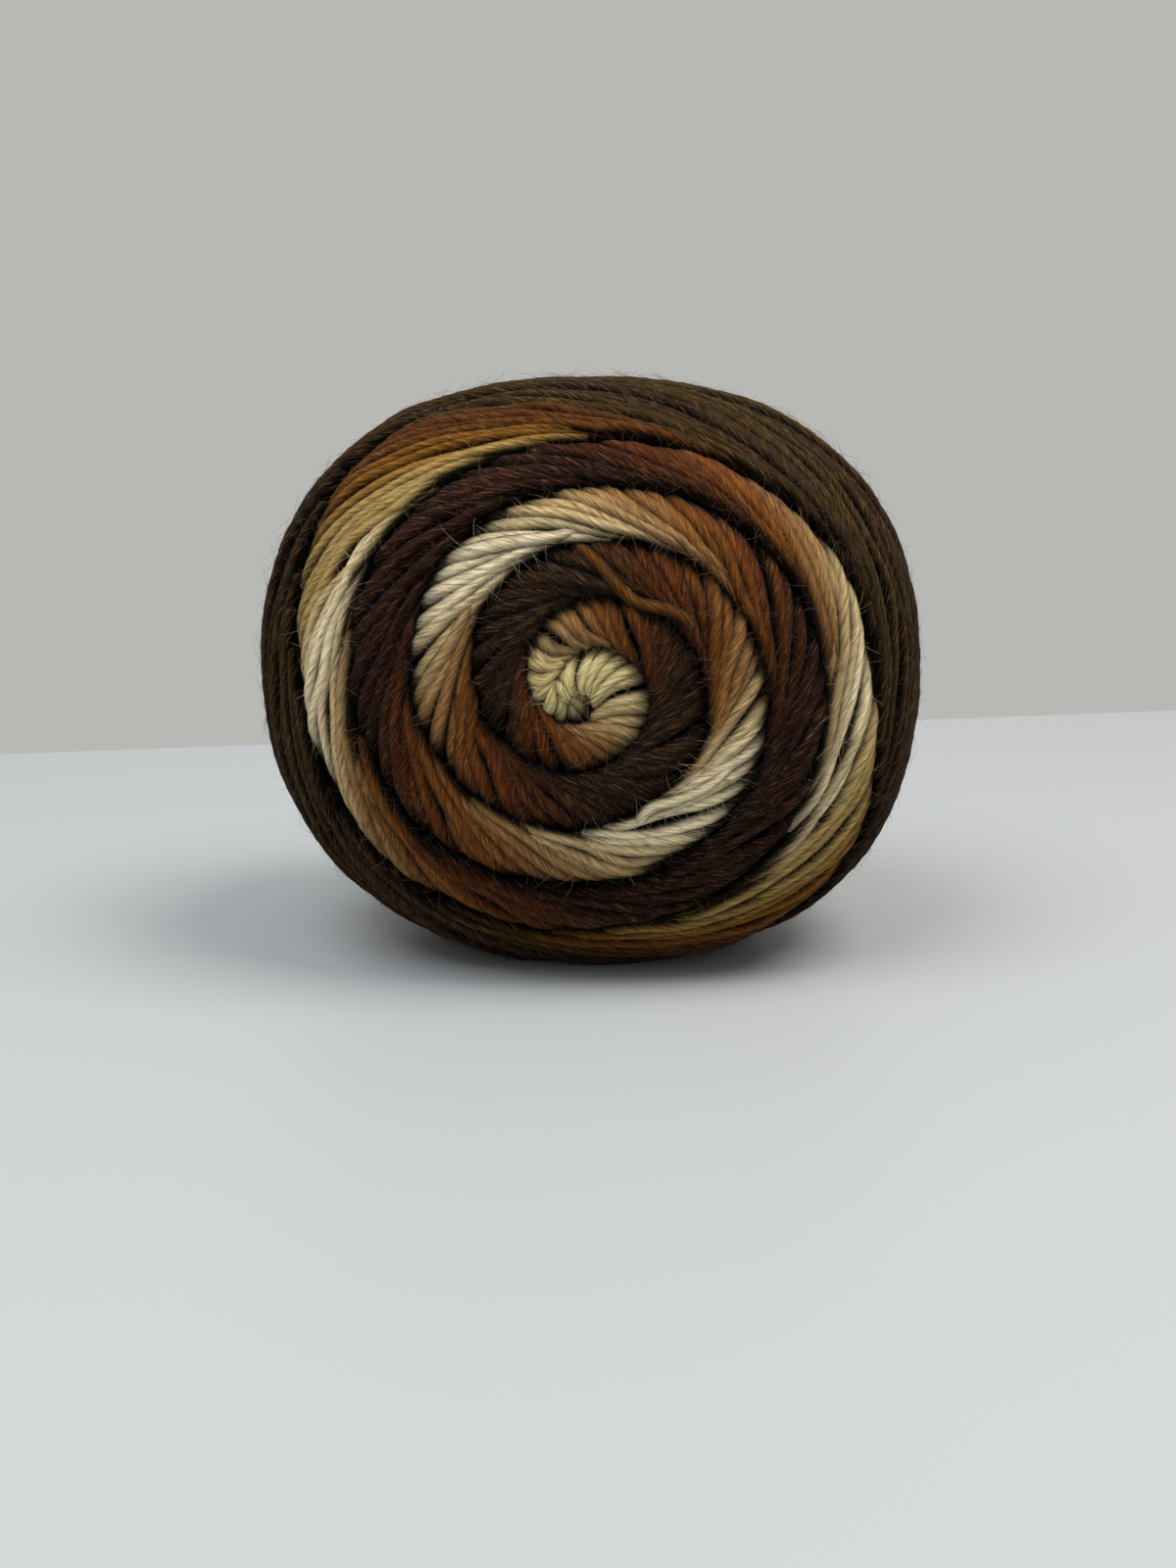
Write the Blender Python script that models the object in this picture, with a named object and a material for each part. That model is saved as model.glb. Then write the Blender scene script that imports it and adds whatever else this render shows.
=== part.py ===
"""A yarn cake lying on its side, one wound body whose two spiral arms of slanted turns show on both faces.

Run it with: blender --background --python part.py
Metres, +Z up. The wound face that shows looks along -Y, and the cake rests on the flat spot at Z = 0.
"""

import math

import bmesh
import bpy
import numpy as np

# Driving sizes of the wound body, under the relief of its turns, which adds about 1.5 mm all round
HALF_WIDTH = 0.0635
HEIGHT_OVER_CENTRE = 0.0557
DEPTH_UNDER_CENTRE = 0.0580
HALF_LENGTH = 0.0430
# The lowest 2 mm are pressed flat by the weight of the cake
CENTRE_HEIGHT = 0.056
# Powers of the rounded outlines, where 2 would be an ellipse and more fills the corners
FACE_POWER = 2.25
SHOULDER_POWER = 2.6
# Share by which two opposite corners of the face's outline swell and the other two shrink
LEAN = 0.016

# Winding, by degrees of turn along an arm: the angle from the cake's axis to the arm's inner crease
CREASE_START = 14.2
CREASE_STEP = 6.63
CREASE_SLOWING = 0.074
# The eye of the winding lies off the axis, to the right and upwards, in the plane of tan(angle / 2)
EYE_OFFSET = (0.012, 0.046)
TURN = 360.0
ARMS = 2
ARM_SPACING = TURN / ARMS

# Slanted turns: ridges round one full ring, and how far a turn runs back round the cake over one ring
RIDGES = 32
COLUMN = TURN / (2 * RIDGES)
SWEEP_COLUMNS = 7
SWEEP = SWEEP_COLUMNS * COLUMN
# Above 1, a turn leaves the inner edge of its ring nearly along it and then bends outwards
SWEEP_BEND = 1.6
RIDGE_HEIGHT = 0.00045

# Across one ring from its inner crease outwards: share of the ring's width, height over the body, ridge share
RING_PROFILE = (
    (0.00, -0.0030, 0.0),
    (0.10, 0.0000, 0.6),
    (0.36, 0.0011, 1.0),
    (0.66, 0.0008, 1.0),
    (0.90, -0.0009, 0.6),
)
FIRST_RING = -4
LAST_RING = 10

# The relief fades in over these distances from the eye and from the floor
EYE_FADE = math.radians(9.0)
FLOOR_FADE = 0.012

# Half the width of the plain strip round the middle, where the two ends of the winding meet
MIDDLE_STRIP = 0.0012
MERGE_DISTANCE = 1e-6

YARN_COLOUR = (0.115, 0.052, 0.024, 1.0)


def clear_scene():
    for item in list(bpy.data.objects):
        bpy.data.objects.remove(item, do_unlink=True)


def smooth_step(value):
    """0 below 0, 1 above 1, with a level start and end between them."""
    clipped = np.clip(value, 0.0, 1.0)
    return clipped * clipped * (3.0 - 2.0 * clipped)


def body_points(colatitude, angle):
    """Points of the plain rounded body. colatitude is measured from the front end of the axis, and angle goes
    clockwise round the face from its left side. The face's outline and each section through the axis are
    ellipses with a raised power."""
    across = -np.cos(angle)
    upward = np.sin(angle)
    half_height = np.where(upward > 0, HEIGHT_OVER_CENTRE, DEPTH_UNDER_CENTRE)
    reach = (
        np.abs(across / HALF_WIDTH) ** FACE_POWER + np.abs(upward / half_height) ** FACE_POWER
    ) ** (-1 / FACE_POWER)
    corner = 2 * across * upward
    reach = reach * (1 - LEAN * corner * np.abs(corner))
    outward = np.sin(colatitude)
    forward = np.cos(colatitude)
    distance = (
        np.abs(outward / reach) ** SHOULDER_POWER + np.abs(forward / HALF_LENGTH) ** SHOULDER_POWER
    ) ** (-1 / SHOULDER_POWER)
    return np.stack(
        [
            distance * outward * across,
            -distance * forward,
            CENTRE_HEIGHT + distance * outward * upward,
        ],
        axis=-1,
    )


def body_normals(points):
    """Unit normals, from the slope of the body's equation. The lean is too small to count here."""
    x = points[..., 0] / HALF_WIDTH
    y = points[..., 1] / HALF_LENGTH
    half_height = np.where(points[..., 2] > CENTRE_HEIGHT, HEIGHT_OVER_CENTRE, DEPTH_UNDER_CENTRE)
    z = (points[..., 2] - CENTRE_HEIGHT) / half_height
    face = np.abs(x) ** FACE_POWER + np.abs(z) ** FACE_POWER + 1e-12
    shared = face ** (SHOULDER_POWER / FACE_POWER - 1)
    slope = np.stack(
        [
            shared * np.sign(x) * np.abs(x) ** (FACE_POWER - 1) / HALF_WIDTH,
            np.sign(y) * np.abs(y) ** (SHOULDER_POWER - 1) / HALF_LENGTH,
            shared * np.sign(z) * np.abs(z) ** (FACE_POWER - 1) / half_height,
        ],
        axis=-1,
    )
    return slope / np.linalg.norm(slope, axis=-1, keepdims=True)


def crease_colatitude(travel):
    """Angle from the axis, in radians, of a crease that has wound on by travel degrees. It stays at 0 before
    the crease leaves the eye."""
    quarters = travel / 90.0
    degrees = CREASE_START + CREASE_STEP * quarters - CREASE_SLOWING * quarters**2
    return np.radians(np.maximum(degrees, 0.0))


def around_the_eye(colatitude, angle):
    """The same place measured round the cake's axis in place of round the winding's eye. The shift fades
    with the square of the cosine, so the rim is wound round the axis."""
    reach = np.tan(colatitude / 2)
    fade = np.cos(np.minimum(colatitude, math.pi / 2)) ** 2
    right = -reach * np.cos(angle) + EYE_OFFSET[0] * fade
    up = reach * np.sin(angle) + EYE_OFFSET[1] * fade
    return 2 * np.arctan(np.hypot(right, up)), np.arctan2(up, -right)


def winding_grid():
    """The winding as a grid of points: one row for each line of the ring profile in each ring, and one column
    for each ridge and groove. A column follows a slanted turn, so it runs back round the cake as it goes out."""
    profile = np.array(RING_PROFILE)
    rings = np.arange(FIRST_RING, LAST_RING)
    share = np.tile(profile[:, 0], len(rings))[:, None]
    height = np.tile(profile[:, 1], len(rings))[:, None]
    ridge_share = np.tile(profile[:, 2], len(rings))[:, None]
    ring = np.repeat(rings, len(profile))[:, None]

    # Two arms on, a column meets the one this many columns back, so these are all that the sheet needs
    columns = np.arange(2 * RIDGES - ARMS * SWEEP_COLUMNS + 1)[None, :]
    sweep = SWEEP * (ring + 1 - (1 - share) ** SWEEP_BEND)
    angle = columns * COLUMN - sweep
    travel = angle + ARM_SPACING * (ring + share)

    colatitude = crease_colatitude(travel)
    base = body_points(*around_the_eye(colatitude, np.radians(angle)))
    ridge = np.where(columns % 2 == 0, RIDGE_HEIGHT, -RIDGE_HEIGHT) * ridge_share
    fade = smooth_step(colatitude / EYE_FADE) * smooth_step(base[..., 2] / FLOOR_FADE)
    return base + ((height + ridge) * fade)[..., None] * body_normals(base)


def grid_faces(rows, columns):
    """Quads between neighbouring rows and columns, with their outer side towards -Y."""
    first = (np.arange(rows - 1)[:, None] * columns + np.arange(columns - 1)[None, :]).ravel()
    return np.stack([first, first + 1, first + columns + 1, first + columns], axis=-1)


def wind_front_half(work):
    """The front of the cake, open at the back where the middle strip starts."""
    points = winding_grid()
    rows, columns = points.shape[:2]
    sheet = bpy.data.meshes.new("winding_sheet")
    sheet.from_pydata(points.reshape(-1, 3).tolist(), [], grid_faces(rows, columns).tolist())
    work.from_mesh(sheet)
    bpy.data.meshes.remove(sheet)
    bmesh.ops.bisect_plane(
        work,
        geom=work.verts[:] + work.edges[:] + work.faces[:],
        dist=MERGE_DISTANCE,
        plane_co=(0.0, -MIDDLE_STRIP, 0.0),
        plane_no=(0.0, 1.0, 0.0),
        clear_outer=True,
    )
    bmesh.ops.remove_doubles(work, verts=work.verts[:], dist=MERGE_DISTANCE)
    bmesh.ops.dissolve_degenerate(work, edges=work.edges[:], dist=MERGE_DISTANCE)


def add_back_half(work):
    """The back is the front turned half round the upright, as a machine winds both ends alike."""
    front = work.verts[:] + work.edges[:] + work.faces[:]
    made = bmesh.ops.duplicate(work, geom=front)["geom"]
    turned = [item for item in made if isinstance(item, bmesh.types.BMVert)]
    half_turn = ((-1.0, 0.0, 0.0), (0.0, -1.0, 0.0), (0.0, 0.0, 1.0))
    for vert in turned:
        vert.co = [sum(a * b for a, b in zip(row, vert.co)) for row in half_turn]
    rims = [edge for edge in work.edges if edge.is_boundary]
    bmesh.ops.bridge_loops(work, edges=rims)


def press_flat_spot(work):
    """What would reach under the floor is pressed up to it."""
    for vert in work.verts:
        vert.co.z = max(vert.co.z, 0.0)


def yarn_material():
    material = bpy.data.materials.new("brown_yarn")
    material.use_nodes = True
    shader = material.node_tree.nodes["Principled BSDF"]
    shader.inputs["Base Color"].default_value = YARN_COLOUR
    shader.inputs["Roughness"].default_value = 0.9
    shader.inputs["Metallic"].default_value = 0.0
    return material


def make_yarn_cake():
    work = bmesh.new()
    wind_front_half(work)
    add_back_half(work)
    press_flat_spot(work)
    bmesh.ops.recalc_face_normals(work, faces=work.faces[:])
    mesh = bpy.data.meshes.new("yarn_cake")
    work.to_mesh(mesh)
    work.free()
    mesh.shade_smooth()
    mesh.set_sharp_from_angle(angle=math.radians(50))
    cake = bpy.data.objects.new("yarn_cake", mesh)
    cake.data.materials.append(yarn_material())
    bpy.context.scene.collection.objects.link(cake)
    return cake


def main():
    clear_scene()
    make_yarn_cake()


main()
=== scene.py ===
"""The looks of a brown gradient yarn cake lying on its side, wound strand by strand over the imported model.

Lengths are in metres, and travel and angles in degrees, where no comment or conversion says otherwise.
"""

import math

import bpy
import numpy as np
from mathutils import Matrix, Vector


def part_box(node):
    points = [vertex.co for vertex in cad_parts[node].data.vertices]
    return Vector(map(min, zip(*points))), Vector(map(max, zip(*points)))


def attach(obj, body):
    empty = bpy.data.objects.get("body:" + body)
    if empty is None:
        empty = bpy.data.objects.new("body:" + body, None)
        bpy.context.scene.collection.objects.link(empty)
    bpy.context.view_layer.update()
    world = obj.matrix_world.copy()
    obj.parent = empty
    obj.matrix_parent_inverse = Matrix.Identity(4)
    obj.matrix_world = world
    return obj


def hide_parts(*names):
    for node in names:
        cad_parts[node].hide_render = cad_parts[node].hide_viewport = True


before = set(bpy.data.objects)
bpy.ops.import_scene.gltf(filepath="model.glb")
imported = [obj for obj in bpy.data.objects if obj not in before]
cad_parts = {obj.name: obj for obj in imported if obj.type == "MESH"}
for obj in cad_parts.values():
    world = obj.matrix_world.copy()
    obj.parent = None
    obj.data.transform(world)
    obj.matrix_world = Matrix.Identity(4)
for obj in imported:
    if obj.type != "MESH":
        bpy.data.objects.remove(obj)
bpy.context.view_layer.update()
CAKE_LOW, CAKE_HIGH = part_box("yarn_cake")

bl_info = {
    "name": "Wound Yarn Cake",
    "version": (1, 0, 0),
    "blender": (4, 5, 0),
    "location": "3D View > Sidebar > Yarn Cake",
    "description": "Winds a yarn cake strand by strand and lights it on a pale table",
    "category": "Add Mesh",
}

MM = 0.001

# The wound body under its raised strands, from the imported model's box
CROWN_HEIGHT = 1.5 * MM
HALF_WIDTH = (CAKE_HIGH.x - CAKE_LOW.x) / 2 - CROWN_HEIGHT
HALF_LENGTH = (CAKE_HIGH.y - CAKE_LOW.y) / 2 - CROWN_HEIGHT
PRESSED_DEPTH = 2 * MM
CENTRE_HEIGHT = 56 * MM
HEIGHT_OVER_CENTRE = CAKE_HIGH.z - CROWN_HEIGHT - CENTRE_HEIGHT
DEPTH_UNDER_CENTRE = CENTRE_HEIGHT + PRESSED_DEPTH
# Powers of the rounded outlines, where 2 would be an ellipse and more fills the corners
FACE_POWER = 2.25
SHOULDER_POWER = 2.6
# Share by which two opposite corners of the face's outline swell and the other two shrink
LEAN = 0.016
# Mean distance from the centre to the surface, which gives a strand its number of rows
MEAN_DISTANCE = 50 * MM
CENTRE = np.array([0.0, 0.0, CENTRE_HEIGHT])

# Winding law, in degrees by quarter turns of travel along an arm
CREASE_START = 14.2
CREASE_STEP = 6.63
CREASE_SLOWING = 0.074
# The eye of the winding lies off the axis, to the right and upwards, in the plane of tan(angle / 2)
EYE_OFFSET = (0.012, 0.046)
# Inside this many degrees the rosette is pulled aside and its strands bend, by this turn at the very eye
ROSETTE_ANGLE = 17.0
ROSETTE_PULL = (-0.040, -0.018)
ROSETTE_TURN = math.radians(42.0)
# Travel at which each arm starts. The second arm's first strands lie under the first arm's, by so many mm
FIRST_TRAVEL = (-196.0, -222.0)
SECOND_ARM_DEPTH = 1.5
# These first strands come up to the others' level over this much travel before this one
SECOND_ARM_UP = -120.0
SECOND_ARM_RISE = 50.0
# The first arm's strands reach this many degrees over the eye, so that no hole is left there. This fades out
# by the eye angle under it
EYE_OVERLAP = 1.6
OVERLAP_FADE = 6.0
LAST_TRAVEL = 806.0
ARM_SPACING = 180.0
# Past this travel the last turns spread out over the rim, by so many degrees for each degree of travel
RIM_START = 715.0
RIM_SPREAD = 0.27
# Half a strand's width, seen from the cake's centre: a crease runs along its strands' inner edge
EDGE_ANGLE = 1.5
# It shrinks to nothing from this eye angle down to the eye
EDGE_FADE = 8.0
# Least and most angle from the axis at which a strand touches its crease
EYE_ANGLES = (-5.0, 92.0)

# Strands that slipped off their turns on the front: dye, shade, width in mm and places, each an angle
# clockwise round the eye from its left side and an angle from the axis
SLACK_STRANDS = {
    "slack_strand": (
        "rust",
        0.62,
        2.5,
        ((82, 33.5), (93, 28), (103, 24), (119, 21.6), (134, 24), (146, 26.3), (160, 27)),
    ),
    "hooked_strand": (
        "cream",
        0.95,
        2.4,
        ((198, 37), (216, 34.5), (231, 32), (241, 30.6), (247, 31.4), (251, 34)),
    ),
}
# How far these lie above the surface, how deep their ends sink from there, both in mm, and how late they do
SLACK_RISE = 0.7
SLACK_SINK = 5.4
SLACK_POWER = 6
SLACK_ROWS = 60
SLACK_LIGHT_FALL = 0.3

# Degrees between neighbouring strands of an arm, by their angle from the axis
STRAND_STEPS = ((-5, 9.0), (0, 10.5), (12, 8.8), (25, 7.6), (45, 6.7), (65, 6.3), (74, 5.8), (90, 6.0))
# Share by which a group of strands fans out from one point of its crease
FAN_SHARE = 0.13
# A group has from the first number of strands up to one less than the second
FAN_SIZES = (3, 6)

# Height of a strand over the finished surface in mm, by the share of its way from its own crease to the next
STRAND_RISE = (
    (-0.60, -5.5),
    (-0.30, -2.6),
    (-0.15, -1.25),
    (0.00, -0.5),
    (0.10, -0.38),
    (0.20, -0.3),
    (0.35, -0.15),
    (0.50, 0.0),
    (0.65, -0.05),
    (0.77, -0.5),
    (0.85, -1.3),
    (0.92, -2.5),
    (1.00, -4.2),
    (1.16, -6.5),
)
# Width of a strand by that same share: squeezed at its crease, and spread where the ring opens out
STRAND_SPREAD = ((-0.3, 0.8), (0.0, 0.84), (0.4, 1.02), (0.8, 1.22), (1.16, 1.26))
# Width by the strand's angle from the axis: thin at the eye, thick on the rim
STRAND_SHARE = ((0, 0.9), (14, 0.98), (62, 1.0), (78, 1.2))
# Share of a strand's height by its angle from the axis: the profile is flatter at the eye and on the rim
RISE_SHARES = ((0, 0.8), (10, 1.0), (66, 1.0), (80, 0.7))
# Degrees that a strand runs on before its crease, sinking under its neighbours, and more between the two rim
# angles, where it stays up. It is at least LEAST_BACK radians
SUNK_BACK = 13.0
RIM_BACK = 55.0
RIM_ANGLES = (78.0, 86.0)
RIM_SINKING = 0.12
LEAST_BACK = 0.03
# Nothing lies under the first strands' near ends, so over this travel these sink by only so much of the depth
FIRST_STRANDS = (-225.0, -165.0)
FIRST_SINKING = (0.1, 1.0)
# A strand is sought to dive between these path parameters, this many degrees before the next crease
REACH_SEARCH = (3.0, 90.0)
REACH_SAMPLES = 349
DIVE_EARLY = EDGE_ANGLE / 3
# It runs on under the next ring to this share of its way
DIVE_SHARE = 1.16
# The last strands run over the middle and end under those of the other face, in degrees from their tangent
LAST_REACH = 104.0
ROW_SPACING = 0.85 * MM
LEAST_ROWS = 10
SECTION_SIDES = 10
# Rows over which a strand's depth is averaged, so that it dives in a soft bend
SOFT_ROWS = 7

# Irregularities, each the spread of a normal random number: an eye angle in degrees, shares of a step, of a
# width and of a tone, sideways moves in radians and heights in mm. A wave has a new height every so many rows
EYE_ANGLE_NOISE = 0.3
STEP_NOISE = 0.18
WIDTH_NOISE = 0.06
TONE_NOISE = 0.1
SWAY_NOISE = 0.008
SWAY_ROWS = 11
SIDE_NOISE = 0.0025
HEIGHT_NOISE = 0.22
WAVE_NOISE = 0.16
WAVE_ROWS = 9
# No step is under this share of its mean, and an arm's first strand starts at random within so many degrees
LEAST_STEP = 0.4
FIRST_STEP = 6.0

# Light left on a strand: a little over 1 at the surface, so that its whole top is lit, and less for each mm
# of depth
SURFACE_LIGHT = 1.12
LIGHT_FALL = 0.38
LEAST_LIGHT = 0.1
# Light round a strand's section, by the cosine of the angle from its top: the share left on its flanks, where
# it starts to rise and over how much
FLANK_LIGHT = 0.06
FLANK_START = 0.6
FLANK_STRETCH = 0.36

# Plies in a strand and the slant of their swelling, and the length of its rounded ends and the square of the
# share to which they narrow
PLIES = 4
PLY_ANGLE = math.radians(36)
END_LENGTH = 1.3 * MM
END_SHARE = 0.0004
# A strand's ply phase and pattern start at random within a turn in radians and a length in mm
PHASE_RANGE = 6.28
PATTERN_RANGE = 900.0

# Loose fibres, which start where a strand is lit this much, from a root under its top to a thin tip. Their
# lengths are in mm
FIBRE_START_LIGHT = 0.75
FIBRE_LENGTHS = (2.0, 7.0)
FIBRE_ROOT = 0.3 * MM
FIBRE_RADIUS = 0.027 * MM
FIBRE_TAPER = 1.02
FIBRE_ROWS = 5
FIBRE_SIDES = 3
# Their rise off the strand as a sine, most of them low, and how far they bend sideways and sag by their tip
FIBRE_LIFTS = (0.02, 0.7)
LIFT_POWER = 1.6
FIBRE_BEND = 0.55
FIBRE_SAG = 0.4
# Their colour is a share of the strand's and a little added light, so they show pale against dark wool
FIBRE_TONE = 0.9
FIBRE_ADDED = 0.03

# Pattern of a strand's surface: the mm round it, the slant of its fibres and plies, and the mm across a ply,
# with the radians by which plies wander and how many times they may in a mm
STRAND_GIRTH = 8.6
FIBRE_SLANT = math.radians(24)
PLY_WIDTH = 1.0
PLY_WANDER = 5.0
WANDERS_PER_MM = 0.5
# Real fibres are about 0.03 mm wide. This pattern draws them about ten times as wide, so that they show, and
# some twelve times as long as wide
FIBRES_PER_MM = 3.1
FIBRE_SHORTENING = 0.08
# Height of the fibres' relief, and of the plies' as a share of it
FIBRE_BUMP = 0.4 * MM
PLY_BUMP = 0.14

# The core under the strands, coloured near-black as painted shade of the slits: its depth and the grid round
# the axis
CORE_DEPTH = 5.0 * MM
CORE_RINGS = 60
CORE_SPOKES = 100

# Camera, matched to the photograph's frame of 1200 x 1600
PHOTO_SIZE = (1200, 1600)
LENS_PIXELS = 1762.0
SENSOR = 36.0
VIEW_DISTANCE = 0.35
VIEW_ELEVATION = math.radians(9.2)
VIEW_AZIMUTH = math.radians(1.6)
AIM_PIXEL = (603.0, 680.0)

# The table ends behind the cake along a slanted edge, against the room's pale wall
TABLE_DEPTH = 0.212
TABLE_TURN = math.radians(12.4)
TABLE_HALF_WIDTH = 2.0
TABLE_LENGTH = 3.0

# Soft lamps: place, size, watts and tint
LAMPS = {
    "ceiling_panel_right": ((0.45, -0.15, 0.95), 0.5, 9.0, "FFFAF2"),
    "ceiling_panel_left": ((-0.35, -0.35, 0.95), 0.6, 7.0, "FBFCFF"),
}

# The dyed tones of the yarn by travel along an arm: what was wound later has more travel. The places and the
# tones were set from the photograph's colours, measured along the winding and compared with renders
COLOUR_RUN = (
    (-225, "straw"),
    (-130, "straw"),
    (-100, "sand"),
    (-68, "camel"),
    (-42, "rust"),
    (-15, "chestnut"),
    (20, "bark"),
    (115, "bark"),
    (160, "chestnut"),
    (184, "rust"),
    (205, "camel"),
    (222, "sand"),
    (241, "cream"),
    (261, "cream"),
    (282, "sand"),
    (305, "camel"),
    (328, "rust"),
    (351, "chestnut"),
    (381, "aubergine"),
    (468, "aubergine"),
    (497, "chestnut"),
    (516, "rust"),
    (534, "camel"),
    (550, "sand"),
    (567, "cream"),
    (586, "khaki"),
    (605, "khaki"),
    (622, "ochre"),
    (642, "chestnut"),
    (660, "olive"),
    (686, "bark"),
    (718, "olive"),
    (752, "bark"),
    (784, "olive"),
    (860, "olive"),
)


def linear(code):
    """A colour in sRGB hex as linear red, green, blue and alpha."""
    shares = np.array([int(code[i:i + 2], 16) for i in (0, 2, 4)]) / 255
    values = np.where(shares <= 0.04045, shares / 12.92, ((shares + 0.055) / 1.055) ** 2.4)
    return (*values.tolist(), 1.0)


def lengths(vectors):
    """Length of each vector, kept as a last axis of one, so that the vectors can be divided by it."""
    return np.linalg.norm(vectors, axis=-1, keepdims=True)


def crease_angle(travel):
    """Degrees from the axis of a crease that has wound on by travel degrees: a start, a step for each quarter
    turn, a small slowing with its square and the last turns' spread over the rim."""
    quarters = np.asarray(travel) / 90.0
    spread = RIM_SPREAD * np.maximum(np.asarray(travel) - RIM_START, 0.0)
    return CREASE_START + CREASE_STEP * quarters - CREASE_SLOWING * quarters**2 + spread


def smooth_step(value):
    """0 below 0, 1 above 1, with a level start and end between them."""
    clipped = np.clip(value, 0.0, 1.0)
    return clipped * clipped * (3.0 - 2.0 * clipped)


def shift_to_eye(direction):
    """Directions from the centre, moved so that they turn round the winding's eye. The face is flattened from
    its far pole, shifted by the offset times the square of the cosine, and rounded again. The rosette's share
    falls as a smooth step from the eye to its edge and turns and pulls it."""
    fade = np.clip(-direction[..., 1], 0.0, 1.0) ** 2
    flat = direction[..., [0, 2]] / (1 - direction[..., 1])[..., None]
    angle = np.degrees(np.arccos(np.clip(-direction[..., 1], -1.0, 1.0)))
    rosette = (1 - smooth_step(angle / ROSETTE_ANGLE))[..., None]
    turn = ROSETTE_TURN * rosette[..., 0]
    flat = np.stack(
        [
            flat[..., 0] * np.cos(turn) - flat[..., 1] * np.sin(turn),
            flat[..., 0] * np.sin(turn) + flat[..., 1] * np.cos(turn),
        ],
        axis=-1,
    )
    flat = flat + fade[..., None] * np.array(EYE_OFFSET) + rosette * np.array(ROSETTE_PULL)
    square = (flat**2).sum(-1)
    moved = np.empty_like(direction)
    moved[..., [0, 2]] = 2 * flat / (1 + square)[..., None]
    moved[..., 1] = -(1 - square) / (1 + square)
    return moved


def body_surface(direction):
    """Points and outward normals of the plain body along directions from its centre. The face's outline and
    every section through the axis are ellipses with a raised power."""
    across, along, upward = direction[..., 0], direction[..., 1], direction[..., 2]
    outward = np.maximum(np.hypot(across, upward), 1e-9)
    cos, sin = across / outward, upward / outward
    half_height = np.where(sin > 0, HEIGHT_OVER_CENTRE, DEPTH_UNDER_CENTRE)
    reach = (
        np.abs(cos / HALF_WIDTH) ** FACE_POWER + np.abs(sin / half_height) ** FACE_POWER
    ) ** (-1 / FACE_POWER)
    corner = 2 * cos * sin
    reach = reach * (1 - LEAN * corner * np.abs(corner))
    distance = (
        np.abs(outward / reach) ** SHOULDER_POWER + np.abs(along / HALF_LENGTH) ** SHOULDER_POWER
    ) ** (-1 / SHOULDER_POWER)
    points = CENTRE + distance[..., None] * direction
    x = np.abs(points[..., 0]) / HALF_WIDTH
    y = np.abs(points[..., 1]) / HALF_LENGTH
    z = np.abs(points[..., 2] - CENTRE_HEIGHT) / half_height
    shared = (x**FACE_POWER + z**FACE_POWER + 1e-12) ** (SHOULDER_POWER / FACE_POWER - 1)
    slope = np.stack(
        [
            shared * np.sign(direction[..., 0]) * x ** (FACE_POWER - 1) / HALF_WIDTH,
            np.sign(direction[..., 1]) * y ** (SHOULDER_POWER - 1) / HALF_LENGTH,
            shared * np.sign(direction[..., 2]) * z ** (FACE_POWER - 1) / half_height,
        ],
        axis=-1,
    )
    return points, slope / lengths(slope)


def reach_of_strand(travel, eye_angle):
    """Path parameter at which a strand dives under the other arm's crease, where that arm is wound. With the
    eye angle e, at parameter t its angle from the axis has the cosine cos(t)cos(e), and it has turned back
    round the face by atan2(sin t, cos t sin e)."""
    step = np.radians(np.linspace(*REACH_SEARCH, REACH_SAMPLES))
    eye = math.radians(eye_angle)
    angle = np.degrees(np.arccos(np.cos(step) * math.cos(eye)))
    turned_back = np.degrees(np.arctan2(np.sin(step), np.cos(step) * math.sin(eye)))
    other = travel + ARM_SPACING - turned_back
    over = (other < LAST_TRAVEL) & (angle >= crease_angle(other) - DIVE_EARLY)
    return float(step[np.argmax(over)] if over.any() else math.radians(LAST_REACH))


def plan_strands(arm, rng):
    """Travel and eye angle of each strand along one arm, where the eye angle is the strand's least angle from
    the axis. Small groups fan out from one point of the crease: a strand turned by a from it has
    tan(eye angle) = tan(crease angle) cos(a)."""
    steps = np.array(STRAND_STEPS)
    plan = []
    travel = FIRST_TRAVEL[arm] + rng.uniform(0.0, FIRST_STEP)
    while travel < LAST_TRAVEL:
        anchor = travel
        crease = math.radians(min(max(float(crease_angle(anchor)), 0.0), 89.0))
        share = FAN_SHARE * rng.uniform(0.0, 2.0)
        for _ in range(int(rng.integers(*FAN_SIZES))):
            fan = math.degrees(math.atan(math.tan(crease) * math.cos(math.radians(travel - anchor))))
            eye = (1 - share) * float(crease_angle(travel)) + share * fan
            eye = eye + EDGE_ANGLE * min(max(eye / EDGE_FADE, 0), 1) + EYE_ANGLE_NOISE * rng.normal()
            if arm == 0:
                eye -= EYE_OVERLAP * min(max(1 - eye / OVERLAP_FADE, 0), 1)
            plan.append((travel, min(max(eye, EYE_ANGLES[0]), EYE_ANGLES[1])))
            step = np.interp(eye, steps[:, 0], steps[:, 1])
            travel += step * max(1 + STEP_NOISE * rng.normal(), LEAST_STEP)
    return plan


def smooth_noise(count, spacing, rng):
    """A smooth random line: random heights every spacing rows, joined by cosine steps."""
    knots = rng.normal(size=count // spacing + 3)
    place = np.arange(count) / spacing + rng.uniform()
    low = place.astype(int)
    share = (1 - np.cos(math.pi * (place - low))) / 2
    return knots[low] * (1 - share) + knots[low + 1] * share


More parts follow.
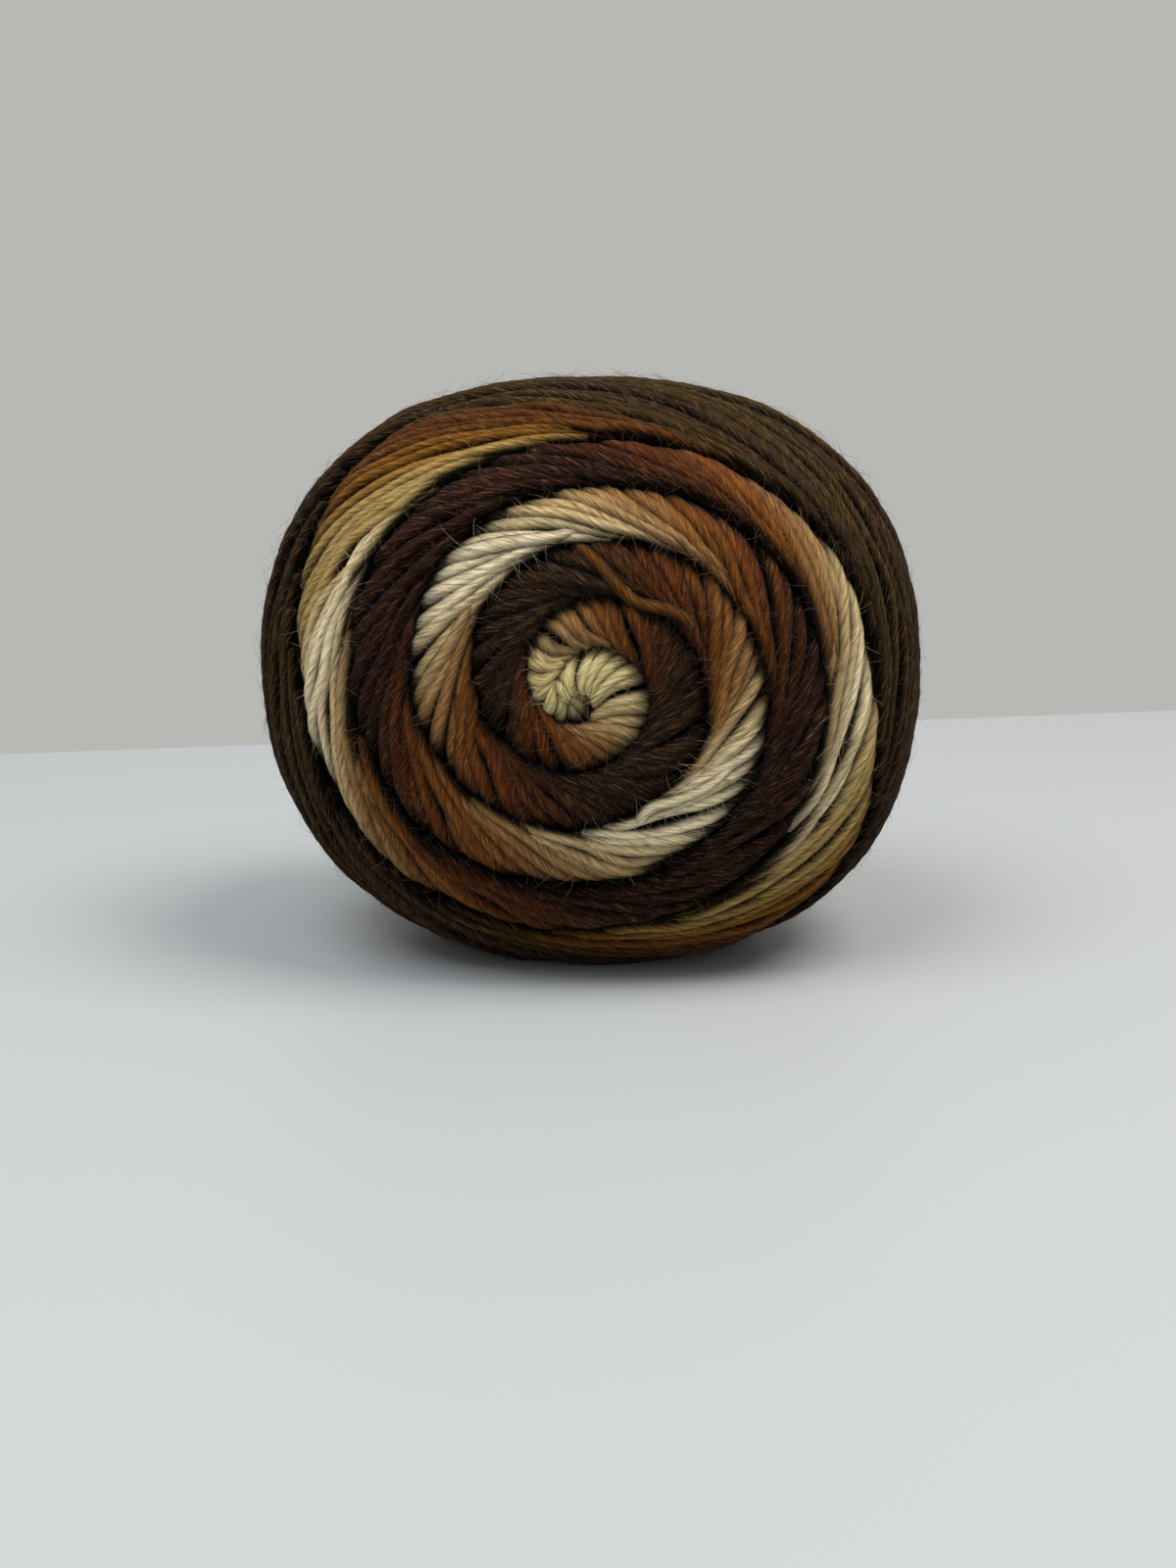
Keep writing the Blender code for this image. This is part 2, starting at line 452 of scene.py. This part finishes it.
def strand_centreline(travel, eye_angle, arm, radius, rng):
    """Points, body normals, shares of light and of width along one strand. Its path is a plane's cut through
    the body that touches its own crease and ends under the next one. The light falls straight with depth."""
    reach = reach_of_strand(travel, eye_angle)
    eye = math.radians(eye_angle)
    back = max(math.atan(math.tan(math.radians(SUNK_BACK)) * math.sin(abs(eye))), LEAST_BACK)
    rim_share = (eye_angle - RIM_ANGLES[0]) / (RIM_ANGLES[1] - RIM_ANGLES[0])
    back += math.radians(RIM_BACK) * smooth_step(rim_share)
    rows = max(int((reach * DIVE_SHARE + back) * MEAN_DISTANCE / ROW_SPACING), LEAST_ROWS)
    step = np.linspace(-back, reach * DIVE_SHARE, rows)
    tangent = math.radians(travel + ARM_SPACING * arm)
    away = np.array([-math.cos(tangent), 0.0, math.sin(tangent)])
    ahead = np.array([-math.sin(tangent), 0.0, -math.cos(tangent)])
    near = math.sin(eye) * away - math.cos(eye) * np.array([0.0, 1.0, 0.0])
    pole = np.cross(near, ahead)
    direction = np.cos(step)[:, None] * near + np.sin(step)[:, None] * ahead
    sway = SWAY_NOISE * smooth_noise(rows, SWAY_ROWS, rng) + SIDE_NOISE * rng.normal()
    direction = direction + sway[:, None] * pole
    direction = direction / lengths(direction)
    base, normal = body_surface(shift_to_eye(direction))
    rise = np.array(STRAND_RISE)
    depth = np.interp(step / reach, rise[:, 0], rise[:, 1])
    sinking = np.interp(travel, FIRST_STRANDS, FIRST_SINKING)
    sinking = sinking * np.interp(eye_angle, RIM_ANGLES, (1.0, RIM_SINKING))
    depth = np.where(step < 0, depth * sinking, depth)
    depth = depth - SECOND_ARM_DEPTH * arm * float(smooth_step((SECOND_ARM_UP - travel) / SECOND_ARM_RISE))
    padded = np.pad(depth, SOFT_ROWS // 2, mode="edge")
    depth = np.convolve(padded, np.ones(SOFT_ROWS) / SOFT_ROWS, mode="valid")
    share = np.interp(eye_angle, *np.array(RISE_SHARES).T)
    height = CROWN_HEIGHT - radius + (depth * share + HEIGHT_NOISE * rng.normal()) * MM
    height = height + WAVE_NOISE * MM * smooth_noise(rows, WAVE_ROWS, rng)
    light = np.clip(SURFACE_LIGHT + LIGHT_FALL * depth, LEAST_LIGHT, 1.0)
    spread = np.interp(step / reach, *np.array(STRAND_SPREAD).T)
    return base + height[:, None] * normal, normal, light, spread


def tube(centre, normal, half_width, half_height, lobe, phase):
    """A tube along one strand. Its section is an ellipse that swells at each ply as a cosine, and the plies
    turn round the strand with its length. Its ends narrow as quarter ellipses to a fiftieth of its width and
    are open there. Returns points, quads and a map of length in mm and share of the way round."""
    rows = len(centre)
    ahead = np.gradient(centre, axis=0)
    ahead = ahead / lengths(ahead)
    up = normal - (normal * ahead).sum(-1, keepdims=True) * ahead
    up = up / lengths(up)
    side = np.cross(ahead, up)
    run = np.concatenate([[0.0], np.cumsum(np.linalg.norm(np.diff(centre, axis=0), axis=1))])
    around = np.arange(SECTION_SIDES) / SECTION_SIDES * 2 * math.pi
    twist = run / half_width.mean() * math.tan(PLY_ANGLE)
    swell = 1 + lobe * np.cos(PLIES * (around[None, :] - twist[:, None] - phase))
    left = np.minimum(run, run[-1] - run)
    swell = swell * np.sqrt(np.clip(1 - (1 - left / END_LENGTH).clip(0) ** 2, END_SHARE, 1))[:, None]
    out = np.sin(around)[None, :, None] * side[:, None, :] * half_width[:, None, None]
    out = out + np.cos(around)[None, :, None] * up[:, None, :] * half_height
    points = centre[:, None, :] + out * swell[..., None]
    row = np.arange(rows - 1)[:, None] * SECTION_SIDES
    here = row + np.arange(SECTION_SIDES)[None, :]
    beside = row + (np.arange(SECTION_SIDES)[None, :] + 1) % SECTION_SIDES
    quads = np.stack([here, here + SECTION_SIDES, beside + SECTION_SIDES, beside], axis=-1).reshape(-1, 4)
    # The map's seam lies under the strand, half a turn from its top
    share = (np.arange(SECTION_SIDES) / SECTION_SIDES + 0.5) % 1.0
    low = np.broadcast_to(share, (rows - 1, SECTION_SIDES))
    high = low + 1 / SECTION_SIDES
    near = np.broadcast_to(run[:-1, None] / MM, low.shape)
    far = np.broadcast_to(run[1:, None] / MM, low.shape)
    lay = np.stack([np.stack([near, far, far, near], -1), np.stack([low, low, high, high], -1)], axis=-1)
    return points.reshape(-1, 3), quads, lay.reshape(-1, 2)


def flank_light():
    """Share of light round a strand: full on its top, and falling as a smooth step to its packed flanks."""
    around = np.arange(SECTION_SIDES) / SECTION_SIDES * 2 * math.pi
    return FLANK_LIGHT + (1 - FLANK_LIGHT) * smooth_step((np.cos(around) - FLANK_START) / FLANK_STRETCH)


def run_colour(travel, dyes):
    """Colour of the yarn at some travel: straight mixes of the run's dyed tones, in linear light."""
    tones = np.array([getattr(dyes, tone)[:] for _, tone in COLOUR_RUN])
    stops = np.array([stop for stop, _ in COLOUR_RUN], float)
    return np.array([np.interp(travel, stops, tones[:, i]) for i in range(3)])


def mesh_object(name, points, faces, colours=None, lay=None):
    """A smooth mesh from arrays, with colours by point and a lengthwise map by corner where given."""
    mesh = bpy.data.meshes.new(name)
    mesh.vertices.add(len(points))
    mesh.vertices.foreach_set("co", np.ascontiguousarray(points, np.float32).ravel())
    mesh.loops.add(faces.size)
    mesh.loops.foreach_set("vertex_index", faces.astype(np.int32).ravel())
    mesh.polygons.add(len(faces))
    mesh.polygons.foreach_set("loop_start", np.arange(len(faces), dtype=np.int32) * faces.shape[1])
    mesh.polygons.foreach_set("use_smooth", np.ones(len(faces), bool))
    mesh.update(calc_edges=True)
    if colours is not None:
        layer = mesh.color_attributes.new("yarn_colour", "FLOAT_COLOR", "POINT")
        layer.data.foreach_set("color", np.ascontiguousarray(colours, np.float32).ravel())
    if lay is not None:
        layer = mesh.uv_layers.new(name="lengthwise")
        layer.uv.foreach_set("vector", np.ascontiguousarray(lay, np.float32).ravel())
    item = bpy.data.objects.new(name, mesh)
    bpy.context.scene.collection.objects.link(item)
    return item


def wear(item, material):
    """Gives a piece its material and its place on the part."""
    item.data.materials.append(material)
    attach(item, "root")
    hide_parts("yarn_cake")


def dress_strand(centre, normal, radius, light, tone, sizes, rng):
    """The tube of one strand with its map and its colours, which are its tone times its shares of light."""
    points, quads, lay = tube(
        centre,
        normal,
        radius,
        radius.mean() * sizes.flattening,
        sizes.ply_relief,
        rng.uniform(0, PHASE_RANGE),
    )
    points[:, 2] = np.maximum(points[:, 2], 0.0)
    shade = (light[:, None] * flank_light()[None, :]).reshape(-1, 1)
    colour = np.concatenate([np.clip(tone * shade, 0, 1), np.ones((len(points), 1))], axis=1)
    return points, quads, lay + [rng.uniform(0, PATTERN_RANGE), 0], colour


def join_strands(name, strands):
    """One piece of many strands, with the point numbers of each moved on past those before it."""
    first = np.cumsum([0] + [len(strand[0]) for strand in strands])
    points, quads, lay, colours = zip(*strands)
    quads = [faces + number for faces, number in zip(quads, first)]
    item = mesh_object(name, *(np.concatenate(arrays) for arrays in (points, quads, colours, lay)))
    wear(item, spun_wool())


def wind_arm(face, arm, sizes, dyes, rng):
    """All strands of one arm on one face as a single piece. The back is the front turned half round the
    upright. Returns samples of the strands' tops, where loose fibres may start."""
    strands, samples = [], []
    for travel, eye_angle in plan_strands(arm, rng):
        share = np.interp(eye_angle, *np.array(STRAND_SHARE).T) * (1 + WIDTH_NOISE * rng.normal())
        radius = sizes.strand_width / 2 * share
        half_height = radius * sizes.flattening
        centre, normal, light, spread = strand_centreline(travel, eye_angle, arm, half_height, rng)
        if face == "back":
            centre = centre * [-1, -1, 1]
            normal = normal * [-1, -1, 1]
        tone = run_colour(travel, dyes) * (1 + TONE_NOISE * rng.normal())
        strands.append(dress_strand(centre, normal, radius * spread, light, tone, sizes, rng))
        shown = light > FIBRE_START_LIGHT
        tones = np.broadcast_to(tone, (shown.sum(), 3))
        samples.append(np.concatenate([centre[shown] + radius * normal[shown], normal[shown], tones], axis=1))
    join_strands(f"{face}_arm_{arm + 1}", strands)
    return np.concatenate(samples)


def core_surface():
    """Points and triangles of the body sunk along its normals by the core's depth, on a grid of rings round
    the axis and spokes from pole to pole, with one point at each pole."""
    spokes = CORE_SPOKES
    colatitude = np.linspace(0.0, math.pi, CORE_RINGS)[1:-1, None]
    angle = np.arange(spokes)[None, :] / spokes * 2 * math.pi
    direction = np.stack(
        [
            np.sin(colatitude) * np.cos(angle),
            -np.cos(colatitude) * np.ones_like(angle),
            np.sin(colatitude) * np.sin(angle),
        ],
        axis=-1,
    )
    poles = np.array([[0.0, -1.0, 0.0], [0.0, 1.0, 0.0]])
    points, normal = body_surface(np.concatenate([direction.reshape(-1, 3), poles]))
    rows = CORE_RINGS - 2
    spoke = np.arange(spokes)
    after = (spoke + 1) % spokes
    ring = np.arange(rows - 1)[:, None] * spokes
    here = ring + spoke
    beside = ring + after
    quads = np.stack([here, beside, beside + spokes, here + spokes], axis=-1).reshape(-1, 4)
    last = (rows - 1) * spokes
    front = np.stack([np.full(spokes, rows * spokes), after, spoke], axis=-1)
    back = np.stack([np.full(spokes, rows * spokes + 1), last + spoke, last + after], axis=-1)
    triangles = np.concatenate([quads[:, [0, 1, 2]], quads[:, [0, 2, 3]], front, back])
    return points - CORE_DEPTH * normal, triangles


def smooth_curve(points, count):
    """Points at even shares along a smooth curve through the given ones: between two of them it is the cubic
    whose slope at each is half the way from the one before to the one after."""
    padded = np.concatenate([2 * points[:1] - points[1:2], points, 2 * points[-1:] - points[-2:-1]])
    place = np.linspace(0, len(points) - 1, count)
    low = np.minimum(place.astype(int), len(points) - 2)
    share = (place - low)[:, None]
    before, start, end, after = (padded[low + i] for i in range(4))
    curve = 2 * start + (end - before) * share + (2 * before - 5 * start + 4 * end - after) * share**2
    return (curve + (3 * start - before - 3 * end + after) * share**3) / 2


def slack_centreline(places, radius):
    """Points, normals and shares of light of a strand that slipped off its turn. Its places round the eye are
    joined as a smooth curve on the flattened face. It lies on the others, and its ends sink by a high power
    of the share from its middle."""
    clock, angle = np.radians(np.array(places)).T
    flat = np.stack([-np.cos(clock), np.sin(clock)], axis=-1) * np.tan(angle / 2)[:, None]
    flat = smooth_curve(flat, SLACK_ROWS)
    square = (flat**2).sum(-1)
    direction = np.stack([2 * flat[:, 0], square - 1, 2 * flat[:, 1]], axis=-1) / (1 + square)[:, None]
    base, normal = body_surface(shift_to_eye(direction))
    depth = SLACK_RISE - SLACK_SINK * np.linspace(-1, 1, SLACK_ROWS) ** SLACK_POWER
    points = base + (CROWN_HEIGHT - radius + depth * MM)[:, None] * normal
    return points, normal, np.clip(1 + SLACK_LIGHT_FALL * depth, LEAST_LIGHT, 1)


def loose_fibres(name, samples, count, rng):
    """Thin tapered fibres that leave the strands in shallow curls: a straight run plus the square of its
    share times a bend. Each is a tube of three sides that thins with the square of that share."""
    chosen = samples[rng.integers(0, len(samples), count)]
    start, normal, tone = chosen[:, :3], chosen[:, 3:6], chosen[:, 6:9]
    side = np.cross(normal, rng.normal(size=(count, 3)))
    side = side / lengths(side)
    lift = rng.uniform(*FIBRE_LIFTS, (count, 1)) ** LIFT_POWER
    toward = side * np.sqrt(1 - lift**2) + normal * lift
    curl = np.cross(toward, normal) * rng.normal(size=(count, 1)) * FIBRE_BEND
    curl = curl - normal * rng.uniform(0, FIBRE_SAG, (count, 1))
    long = rng.uniform(*FIBRE_LENGTHS, (count, 1)) * MM
    rows, sides = FIBRE_ROWS, FIBRE_SIDES
    share = np.linspace(0, 1, rows)[None, :, None]
    path = start[:, None, :] - FIBRE_ROOT * normal[:, None, :]
    path = path + long[:, None, :] * (share * toward[:, None, :] + share**2 * curl[:, None, :])
    ahead = np.gradient(path, axis=1)
    ahead = ahead / lengths(ahead)
    # Moved a little off the normal, so that a fibre that stands straight up has a side too
    first = np.cross(ahead, normal[:, None, :] + 0.01)
    first = first / lengths(first)
    second = np.cross(ahead, first)
    turn = np.arange(sides) / sides * 2 * math.pi
    thick = FIBRE_RADIUS * (FIBRE_TAPER - share[..., None] ** 2)
    ring = np.cos(turn)[None, None, :, None] * first[:, :, None, :]
    ring = ring + np.sin(turn)[None, None, :, None] * second[:, :, None, :]
    points = (path[:, :, None, :] + thick * ring).reshape(-1, 3)
    points[:, 2] = np.maximum(points[:, 2], 0.0)
    base = (np.arange(count) * rows * sides)[:, None, None] + (np.arange(rows - 1) * sides)[None, :, None]
    here = base + np.arange(sides)[None, None, :]
    beside = base + ((np.arange(sides) + 1) % sides)[None, None, :]
    quads = np.stack([here, beside, beside + sides, here + sides], axis=-1).reshape(-1, 4)
    tone = np.clip(tone * FIBRE_TONE + FIBRE_ADDED, 0, 1)
    colours = np.repeat(np.concatenate([tone, np.ones((count, 1))], axis=1), rows * sides, axis=0)
    wear(mesh_object(name, points, quads, colours), stray_wool())


def add_node(tree, kind, settings=None, links=None):
    """Adds a node. settings are its own properties or, under a socket's name or number, that socket's value;
    links give a socket the output that feeds it."""
    node = tree.nodes.new(kind)
    for key, value in (settings or {}).items():
        if isinstance(key, int) or key in node.inputs:
            node.inputs[key].default_value = value
        else:
            setattr(node, key, value)
    for key, output in (links or {}).items():
        tree.links.new(output, node.inputs[key])
    return node


def new_material(name, roughness, specular):
    """A material with its node tree and its shader, whose gloss comes from two plain values."""
    material = bpy.data.materials.new(name)
    material.use_nodes = True
    shader = material.node_tree.nodes["Principled BSDF"]
    shader.inputs["Roughness"].default_value = roughness
    shader.inputs["Specular IOR Level"].default_value = specular
    return material, material.node_tree, shader


def spun_wool():
    """Softly spun wool, dyed in long runs. It gives the eye a matt and slightly hairy strand, with thin
    slanted plies and single fibres that are lighter or darker than the rest."""
    found = bpy.data.materials.get("softly_spun_wool")
    if found:
        return found
    material, tree, shader = new_material("softly_spun_wool", 0.9, 0.06)
    shader.inputs["Sheen Weight"].default_value = 0.015
    shader.inputs["Sheen Roughness"].default_value = 0.5
    colour = add_node(tree, "ShaderNodeAttribute", {"attribute_name": "yarn_colour"})
    lay = add_node(tree, "ShaderNodeUVMap", {"uv_map": "lengthwise"})
    axes = add_node(tree, "ShaderNodeSeparateXYZ", links={0: lay.outputs[0]})
    # The map has mm of length and shares of the way round. Across the fibres is the way round times the
    # cosine of their slant, less the length times its sine
    around = add_node(
        tree,
        "ShaderNodeMath",
        {"operation": "MULTIPLY", 1: STRAND_GIRTH * math.cos(FIBRE_SLANT)},
        {0: axes.outputs[1]},
    )
    length = add_node(
        tree,
        "ShaderNodeMath",
        {"operation": "MULTIPLY", 1: math.sin(FIBRE_SLANT)},
        {0: axes.outputs[0]},
    )
    across = add_node(
        tree,
        "ShaderNodeMath",
        {"operation": "SUBTRACT"},
        {0: around.outputs[0], 1: length.outputs[0]},
    )
    along = add_node(
        tree,
        "ShaderNodeMath",
        {"operation": "MULTIPLY", 1: FIBRE_SHORTENING},
        {0: axes.outputs[0]},
    )
    place = add_node(tree, "ShaderNodeCombineXYZ", links={0: across.outputs[0], 1: along.outputs[0]})
    fibres = add_node(
        tree,
        "ShaderNodeTexNoise",
        {"Scale": FIBRES_PER_MM, "Detail": 3.0, "Roughness": 0.7},
        {"Vector": place.outputs[0]},
    )
    # Plies are a sine across the fibres, shifted by a coarse noise so that they wander
    wander = add_node(
        tree,
        "ShaderNodeTexNoise",
        {"Scale": WANDERS_PER_MM, "Detail": 1.0},
        {"Vector": place.outputs[0]},
    )
    phase = add_node(
        tree,
        "ShaderNodeMath",
        {"operation": "MULTIPLY_ADD", 1: 2 * math.pi / PLY_WIDTH},
        {0: across.outputs[0]},
    )
    shift = add_node(
        tree,
        "ShaderNodeMath",
        {"operation": "MULTIPLY", 1: PLY_WANDER},
        {0: wander.outputs[0]},
    )
    tree.links.new(shift.outputs[0], phase.inputs[2])
    plies = add_node(tree, "ShaderNodeMath", {"operation": "SINE"}, {0: phase.outputs[0]})
    # Both patterns scale the strand's own colour, the plies a little and the fibres much
    ply_light = add_node(
        tree,
        "ShaderNodeMapRange",
        {1: -1.0, 2: 0.6, 3: 0.86, 4: 1.04},
        {0: plies.outputs[0]},
    )
    fibre_light = add_node(
        tree,
        "ShaderNodeMapRange",
        {1: 0.32, 2: 0.68, 3: 0.38, 4: 2.04},
        {0: fibres.outputs[0]},
    )
    light = add_node(
        tree,
        "ShaderNodeMath",
        {"operation": "MULTIPLY"},
        {0: ply_light.outputs[0], 1: fibre_light.outputs[0]},
    )
    shaded = add_node(
        tree,
        "ShaderNodeMix",
        {"data_type": "RGBA", "blend_type": "MULTIPLY", 0: 1.0},
        {6: colour.outputs["Color"], 7: light.outputs[0]},
    )
    # The lightest fibres also turn tan, so that single pale ones show in the dark tones
    pale = add_node(
        tree,
        "ShaderNodeMapRange",
        {1: 0.54, 2: 0.7, 3: 0.0, 4: 0.36},
        {0: fibres.outputs[0]},
    )
    heathered = add_node(
        tree,
        "ShaderNodeMix",
        {"data_type": "RGBA", 7: linear("8A6C46")},
        {0: pale.outputs[0], 6: shaded.outputs[2]},
    )
    tree.links.new(heathered.outputs[2], shader.inputs["Base Color"])
    relief = add_node(
        tree,
        "ShaderNodeMath",
        {"operation": "MULTIPLY_ADD", 1: PLY_BUMP},
        {0: plies.outputs[0], 2: fibres.outputs[0]},
    )
    bump = add_node(
        tree,
        "ShaderNodeBump",
        {"Strength": 0.8, "Distance": FIBRE_BUMP},
        {"Height": relief.outputs[0]},
    )
    tree.links.new(bump.outputs[0], shader.inputs["Normal"])
    return material


def stray_wool():
    """Single wool fibres that came loose. They give the eye fine hairs, with a faint gleam, over the
    strands."""
    found = bpy.data.materials.get("stray_wool_fibre")
    if found:
        return found
    material, tree, shader = new_material("stray_wool_fibre", 0.7, 0.3)
    colour = add_node(tree, "ShaderNodeAttribute", {"attribute_name": "yarn_colour"})
    tree.links.new(colour.outputs["Color"], shader.inputs["Base Color"])
    return material


def painted_shade_wool():
    """Wool packed inside the winding, seen only between strands. Its near-black is painted shade: it gives
    the eye the dark of the deep slits, with a grain of about a millimetre."""
    material, tree, shader = new_material("packed_wool_in_shade", 1.0, 0.0)
    place = add_node(tree, "ShaderNodeTexCoord")
    grain = add_node(
        tree,
        "ShaderNodeTexNoise",
        {"Scale": 0.9 / MM, "Detail": 2.0},
        {"Vector": place.outputs["Object"]},
    )
    # Two near-black tones, painted shade of the deep slits, mixed by the grain
    tones = add_node(
        tree,
        "ShaderNodeMix",
        {"data_type": "RGBA", 6: linear("120B07"), 7: linear("2A1B10")},
        {0: grain.outputs[0]},
    )
    tree.links.new(tones.outputs[2], shader.inputs["Base Color"])
    return material


class YarnCakeSizes(bpy.types.PropertyGroup):
    strand_width: bpy.props.FloatProperty(
        name="Strand width", description="Width of one strand as wound", default=2.75 * MM, unit="LENGTH")
    flattening: bpy.props.FloatProperty(
        name="Flattening", description="Height of a strand as a share of its width", default=0.96)
    ply_relief: bpy.props.FloatProperty(
        name="Ply relief", description="Swelling of each ply as a share of the radius", default=0.03)
    fibre_count: bpy.props.IntProperty(
        name="Loose fibres", description="How many single fibres stand off each face", default=6800)
    seed: bpy.props.IntProperty(name="Seed", description="Choice of the small irregularities", default=7)


def dye(name, code, description):
    """A colour that a user may change, given in sRGB hex."""
    return bpy.props.FloatVectorProperty(
        name=name,
        description=description,
        default=linear(code)[:3],
        subtype="COLOR",
        size=3,
        min=0.0,
        max=1.0,
    )


class YarnCakeDyes(bpy.types.PropertyGroup):
    straw: dye("Straw", "C8B880", "Yellowish white at the eye of the winding")
    cream: dye("Cream", "CFC19E", "Palest tone of the run")
    sand: dye("Sand", "AF996D", "Between cream and camel")
    camel: dye("Camel", "8A6840", "Middle brown")
    rust: dye("Rust", "693F17", "Orange brown")
    khaki: dye("Khaki", "98804C", "Greenish tan of the outer pale ring")
    ochre: dye("Ochre", "704A12", "Yellowish brown before the last turns")
    chestnut: dye("Chestnut", "4A2409", "Dark orange brown")
    bark: dye("Bark", "25160A", "Dark brown of the inner ring")
    aubergine: dye("Aubergine", "241009", "Dark purplish brown of the wide ring")
    olive: dye("Olive", "35260B", "Dark greenish brown of the last turns")


class YARNCAKE_OT_core(bpy.types.Operator):
    """Adds the body that fills the winding under its strands, coloured near-black as painted shade between
    them
    """

    bl_idname = "yarncake.core"
    bl_label = "Packed Core"

    def execute(self, context):
        wear(mesh_object("packed_core", *core_surface()), painted_shade_wool())
        return {"FINISHED"}


class YARNCAKE_OT_strands(bpy.types.Operator):
    """Winds the strands of both arms on each face and adds the loose fibres"""

    bl_idname = "yarncake.strands"
    bl_label = "Wound Strands"

    def execute(self, context):
        sizes, dyes = context.scene.yarn_cake, context.scene.yarn_cake_dyes
        rng = np.random.default_rng(sizes.seed)
        for face in ("front", "back"):
            samples = [wind_arm(face, arm, sizes, dyes, rng) for arm in (0, 1)]
            loose_fibres(f"{face}_fibres", np.concatenate(samples), sizes.fibre_count, rng)
        return {"FINISHED"}


class YARNCAKE_OT_slack(bpy.types.Operator):
    """Lays the slack strands that cross the creases of the front"""

    bl_idname = "yarncake.slack"
    bl_label = "Slack Strands"

    def execute(self, context):
        sizes, dyes = context.scene.yarn_cake, context.scene.yarn_cake_dyes
        rng = np.random.default_rng(sizes.seed + 1)
        for name, (tone, shade, width, places) in SLACK_STRANDS.items():
            radius = width * MM / 2
            centre, normal, light = slack_centreline(places, radius)
            colour = shade * np.array(getattr(dyes, tone)[:])
            strand = dress_strand(centre, normal, np.full(len(centre), radius), light, colour, sizes, rng)
            join_strands(name, [strand])
        return {"FINISHED"}


class YARNCAKE_OT_stage(bpy.types.Operator):
    """Adds the pale table, the soft light and the camera"""

    bl_idname = "yarncake.stage"
    bl_label = "Table, Light and Camera"

    def execute(self, context):
        add_table()
        add_lights()
        add_camera()
        return {"FINISHED"}


def add_table():
    """A plain table top, whose far edge is turned a little from square to the cake. Its matt pale laminate
    gives the eye an even cool grey with the cake's soft shadow."""
    along = np.array([math.cos(TABLE_TURN), math.sin(TABLE_TURN), 0.0])
    toward = np.array([math.sin(TABLE_TURN), -math.cos(TABLE_TURN), 0.0])
    edge = np.array([0.0, TABLE_DEPTH, 0.0])
    left = edge - TABLE_HALF_WIDTH * along
    right = edge + TABLE_HALF_WIDTH * along
    near = TABLE_LENGTH * toward
    corners = np.array([left, left + near, right + near, right])
    item = mesh_object("pale_table", corners, np.array([[0, 1, 2, 3]]))
    material, _, shader = new_material("matt_pale_laminate", 0.45, 0.4)
    shader.inputs["Base Color"].default_value = linear("AAAEB1")
    item.data.materials.append(material)


def turn_to(item, toward):
    """Turns a lamp or the camera to look along a direction, with its top up."""
    item.rotation_euler = Vector(toward).to_track_quat("-Z", "Y").to_euler()


def add_lights():
    """A pale room that lights the cake from all round, and two soft lamps over it."""
    world = bpy.data.worlds.new("soft_room")
    world.use_nodes = True
    background = world.node_tree.nodes["Background"]
    background.inputs["Color"].default_value = linear("B8B8B5")
    background.inputs["Strength"].default_value = 1.0
    bpy.context.scene.world = world
    bpy.context.scene.view_settings.view_transform = "Standard"
    for name, (place, size, power, tint) in LAMPS.items():
        lamp = bpy.data.lights.new(name, "AREA")
        lamp.size = size
        lamp.energy = power
        lamp.color = linear(tint)[:3]
        item = bpy.data.objects.new(name, lamp)
        bpy.context.scene.collection.objects.link(item)
        item.location = place
        turn_to(item, CENTRE - np.array(place))


def add_camera():
    """The camera looks at the cake's centre from the photograph's angle, turned a little so that the centre
    falls on its own pixel of the frame."""
    back = np.array(
        [
            math.sin(VIEW_AZIMUTH) * math.cos(VIEW_ELEVATION),
            -math.cos(VIEW_AZIMUTH) * math.cos(VIEW_ELEVATION),
            math.sin(VIEW_ELEVATION),
        ]
    )
    pitch = VIEW_ELEVATION + math.atan((PHOTO_SIZE[1] / 2 - AIM_PIXEL[1]) / LENS_PIXELS)
    yaw = VIEW_AZIMUTH + math.atan((AIM_PIXEL[0] - PHOTO_SIZE[0] / 2) / LENS_PIXELS)
    camera = bpy.data.cameras.new("photo_camera")
    camera.sensor_fit = "VERTICAL"
    camera.sensor_height = SENSOR
    camera.lens = LENS_PIXELS * SENSOR / PHOTO_SIZE[1]
    item = bpy.data.objects.new("photo_camera", camera)
    bpy.context.scene.collection.objects.link(item)
    item.location = CENTRE + VIEW_DISTANCE * back
    turn_to(item, (-math.sin(yaw) * math.cos(pitch), math.cos(yaw) * math.cos(pitch), -math.sin(pitch)))
    bpy.context.scene.camera = item


class YARNCAKE_PT_panel(bpy.types.Panel):
    """Lists the sizes and the steps"""

    bl_idname = "YARNCAKE_PT_panel"
    bl_label = "Yarn Cake"
    bl_space_type = "VIEW_3D"
    bl_region_type = "UI"
    bl_category = "Yarn Cake"

    def draw(self, context):
        for name in YarnCakeSizes.__annotations__:
            self.layout.prop(context.scene.yarn_cake, name)
        for name in YarnCakeDyes.__annotations__:
            self.layout.prop(context.scene.yarn_cake_dyes, name)
        for step in STEPS:
            self.layout.operator(step.bl_idname)


STEPS = (YARNCAKE_OT_core, YARNCAKE_OT_strands, YARNCAKE_OT_slack, YARNCAKE_OT_stage)


def register():
    for item in (YarnCakeSizes, YarnCakeDyes, *STEPS, YARNCAKE_PT_panel):
        bpy.utils.register_class(item)
    bpy.types.Scene.yarn_cake = bpy.props.PointerProperty(type=YarnCakeSizes)
    bpy.types.Scene.yarn_cake_dyes = bpy.props.PointerProperty(type=YarnCakeDyes)


def unregister():
    del bpy.types.Scene.yarn_cake
    del bpy.types.Scene.yarn_cake_dyes
    for item in (YARNCAKE_PT_panel, *reversed(STEPS), YarnCakeDyes, YarnCakeSizes):
        bpy.utils.unregister_class(item)


def main():
    register()
    bpy.ops.yarncake.core()
    bpy.ops.yarncake.strands()
    bpy.ops.yarncake.slack()
    bpy.ops.yarncake.stage()


if __name__ == "__main__":
    main()
